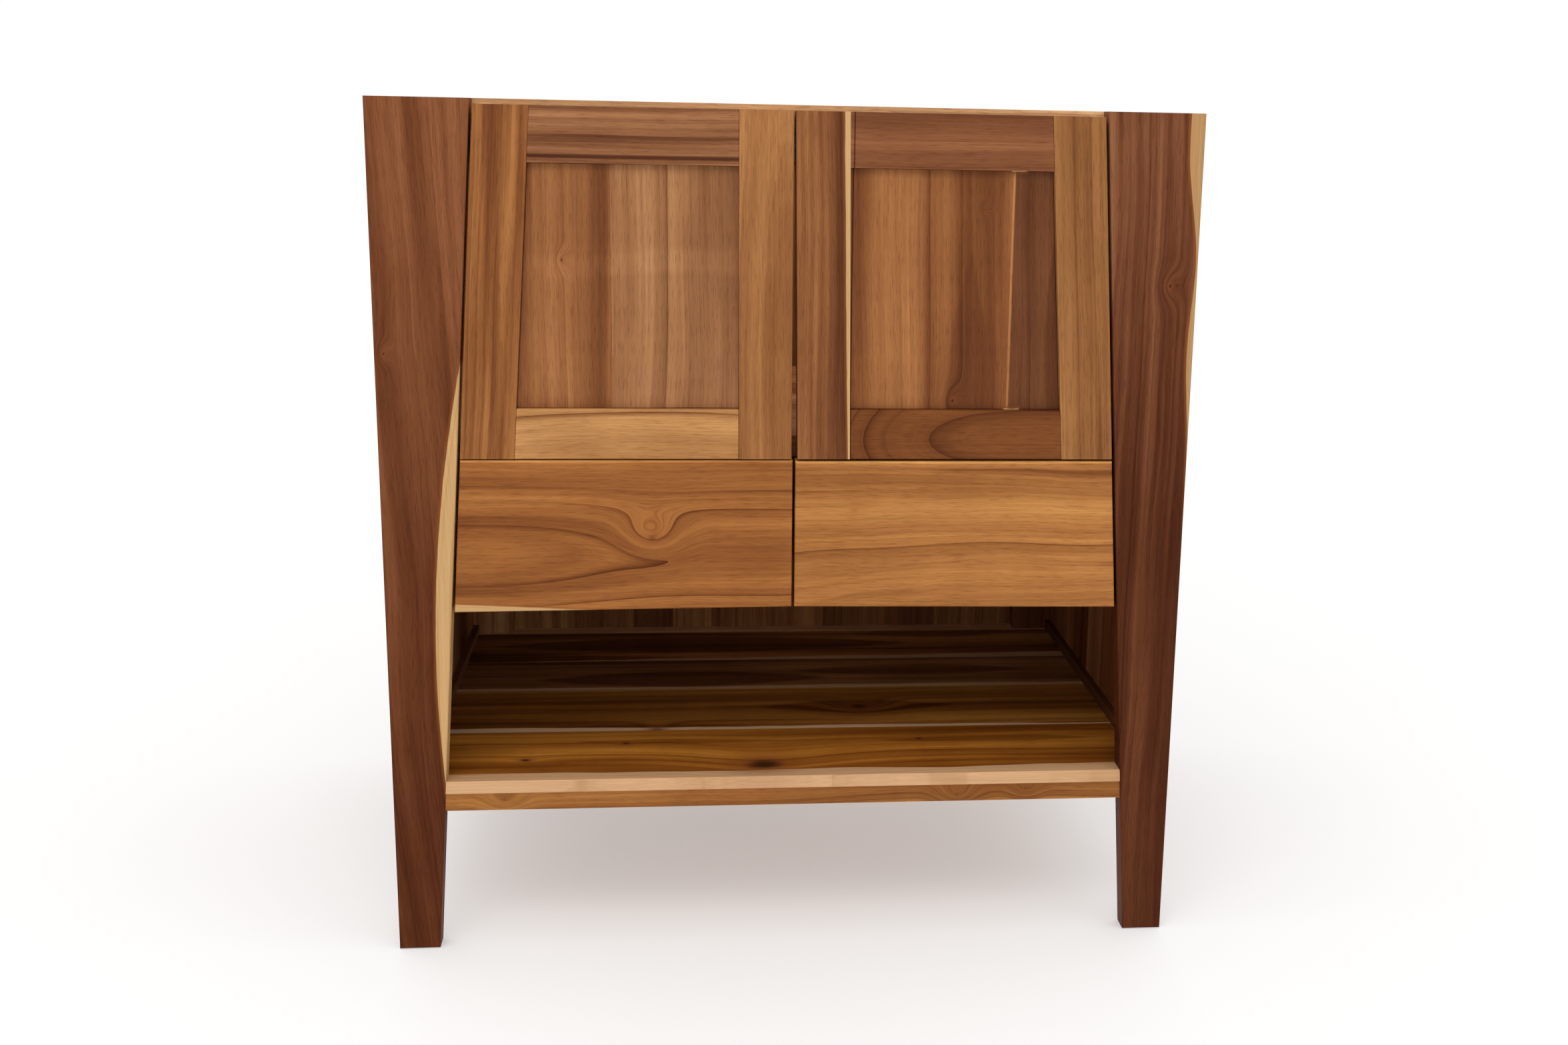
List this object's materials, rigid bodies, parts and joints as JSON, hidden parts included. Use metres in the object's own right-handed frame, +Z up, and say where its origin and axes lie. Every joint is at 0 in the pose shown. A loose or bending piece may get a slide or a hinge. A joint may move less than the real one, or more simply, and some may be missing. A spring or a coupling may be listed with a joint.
{
  "type": "bathroom vanity cabinet",
  "caption": "Free-standing teak vanity base: tapered leg boards, framed doors over drawers on telescopic slides, and an open plank shelf; no top or sink.",
  "frame": {"origin": "centre of the footprint, on the floor", "axes": "+Z up, the front with its doors faces -Y, +X is to the right seen from the front"},
  "size_m": [0.762, 0.559, 0.813],
  "materials": {
    "steel_bracket": "zinc plated, satin",
    "steel_pin": "turned, satin",
    "brass_bush": "turned",
    "zinc_steel": "zinc plated",
    "teak_leg_left": "oiled teak with a pale sapwood edge",
    "teak_leg_right": "oiled teak, dark red-brown with a pale outer edge",
    "teak_panel": "oiled teak, plain-sawn",
    "teak_door": "oiled teak, straight grain",
    "teak_drawer_front": "oiled teak, golden",
    "plywood": "plain",
    "teak_drawer_box": "unfinished teak",
    "teak_shelf": "oiled teak with sapwood at the seams",
    "teak_frame": "oiled teak"
  },
  "bodies": {
    "carcass": {"back_bottom_rail": "teak_frame", "back_planks": "teak_frame", "bracket_screws": "steel_pin", "corner_blocks": "teak_frame", "drawer_divider": "teak_frame", "floor_boards": "teak_frame", "floor_cleats": "teak_frame", "floor_front_rail": "teak_frame", "front_top_rail": "teak_frame", "left_drawer_slide_outers": "zinc_steel", "left_front_leg": "teak_leg_left", "left_pivot_brackets": "steel_bracket", "left_rear_leg": "teak_leg_left", "left_side_bottom_rail": "teak_frame", "left_side_planks": "teak_frame", "left_side_top_rail": "teak_frame", "left_slide_rail": "teak_frame", "pivot_pins": "steel_pin", "rear_top_rail": "teak_frame", "right_drawer_slide_outers": "zinc_steel", "right_front_leg": "teak_leg_right", "right_pivot_brackets": "steel_bracket", "right_rear_leg": "teak_leg_right", "right_side_bottom_rail": "teak_frame", "right_side_planks": "teak_frame", "right_side_top_rail": "teak_frame", "right_slide_rail": "teak_frame", "shelf_apron": "teak_shelf", "shelf_board_1": "teak_shelf", "shelf_board_2": "teak_shelf", "shelf_board_3": "teak_shelf", "shelf_board_4": "teak_shelf", "shelf_board_5": "teak_shelf", "shelf_cleats": "teak_shelf"},
    "left_door": {"left_door_bottom_rail": "teak_door", "left_door_bushes": "brass_bush", "left_door_hinge_stile": "teak_door", "left_door_lock_stile": "teak_door", "left_door_panel_boards": "teak_panel", "left_door_top_rail": "teak_door"},
    "right_door": {"right_door_bottom_rail": "teak_door", "right_door_bushes": "brass_bush", "right_door_hinge_stile": "teak_door", "right_door_lock_stile": "teak_door", "right_door_panel_boards": "teak_panel", "right_door_top_rail": "teak_door"},
    "left_drawer": {"left_drawer_back": "teak_drawer_box", "left_drawer_bottom": "plywood", "left_drawer_front": "teak_drawer_front", "left_drawer_sides": "teak_drawer_box", "left_drawer_slide_inners": "zinc_steel"},
    "right_drawer": {"right_drawer_back": "teak_drawer_box", "right_drawer_bottom": "plywood", "right_drawer_front": "teak_drawer_front", "right_drawer_sides": "teak_drawer_box", "right_drawer_slide_inners": "zinc_steel"},
    "left_middles": {"left_drawer_slide_middles": "zinc_steel"},
    "right_middles": {"right_drawer_slide_middles": "zinc_steel"}
  },
  "joints": [
    {"name": "left_door_hinge", "type": "hinge", "parent": "carcass", "child": "left_door", "pos_m": [-0.28816, -0.2725, 0.648], "axis": [-0.0651, 0, -0.9979], "range_deg": [0, 95]},
    {"name": "right_door_hinge", "type": "hinge", "parent": "carcass", "child": "right_door", "pos_m": [0.28816, -0.2725, 0.648], "axis": [-0.0651, 0, 0.9979], "range_deg": [0, 95]},
    {"name": "left_drawer_slide", "type": "slide", "parent": "carcass", "child": "left_drawer", "axis": [0, -1, 0], "range_m": [0, 0.4]},
    {"name": "right_drawer_slide", "type": "slide", "parent": "carcass", "child": "right_drawer", "axis": [0, -1, 0], "range_m": [0, 0.4]},
    {"name": "left_middle_slide", "type": "slide", "parent": "carcass", "child": "left_middles", "axis": [0, -1, 0], "range_m": [0, 0.2]},
    {"name": "right_middle_slide", "type": "slide", "parent": "carcass", "child": "right_middles", "axis": [0, -1, 0], "range_m": [0, 0.2]}
  ],
  "couplings": [
    {"joint": "left_middle_slide", "follows": "left_drawer_slide", "ratio": 0.5},
    {"joint": "right_middle_slide", "follows": "right_drawer_slide", "ratio": 0.5}
  ]
}
